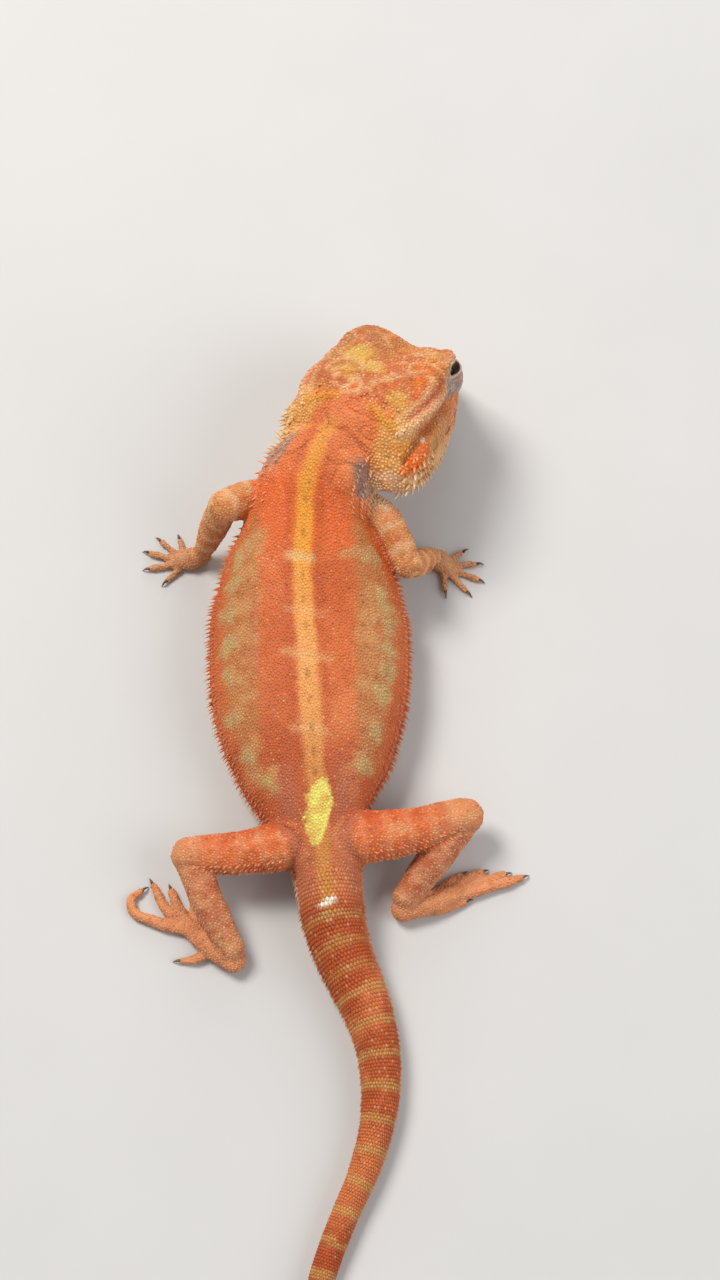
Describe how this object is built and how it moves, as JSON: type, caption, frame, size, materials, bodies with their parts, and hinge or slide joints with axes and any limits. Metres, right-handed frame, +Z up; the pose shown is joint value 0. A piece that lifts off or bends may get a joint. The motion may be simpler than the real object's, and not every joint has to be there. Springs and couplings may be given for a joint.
{
  "type": "young bearded dragon lizard, still model",
  "caption": "Young orange-red bearded dragon lying on its belly, head turned and raised, with spiny flanks and beard, clawed feet and a long tail laid in a slow bend.",
  "frame": {"origin": "middle of the belly's flat, on the floor", "axes": "+Y from the tail towards the head, +X to the animal's right, +Z up; the floor is z = 0"},
  "size_m": [0.0404, 0.127, 0.0173],
  "materials": {
    "body_skin": "dry matt scales, orange-red with pale blotches",
    "limb_skin": "dry matt scales, sandy orange",
    "eye": "wet gloss"
  },
  "bodies": {
    "root": {"head": "body_skin", "neck": "body_skin", "torso": "body_skin", "tail_1": "body_skin", "tail_2": "body_skin", "tail_3": "body_skin", "tail_4": "body_skin", "upper_arm_left": "limb_skin", "forearm_left": "limb_skin", "hand_left": "limb_skin", "thigh_left": "limb_skin", "shin_left": "limb_skin", "foot_left": "limb_skin", "upper_arm_right": "limb_skin", "forearm_right": "limb_skin", "hand_right": "limb_skin", "thigh_right": "limb_skin", "shin_right": "limb_skin", "foot_right": "limb_skin", "eye_left": "eye", "eye_right": "eye"}
  },
  "joints": []
}
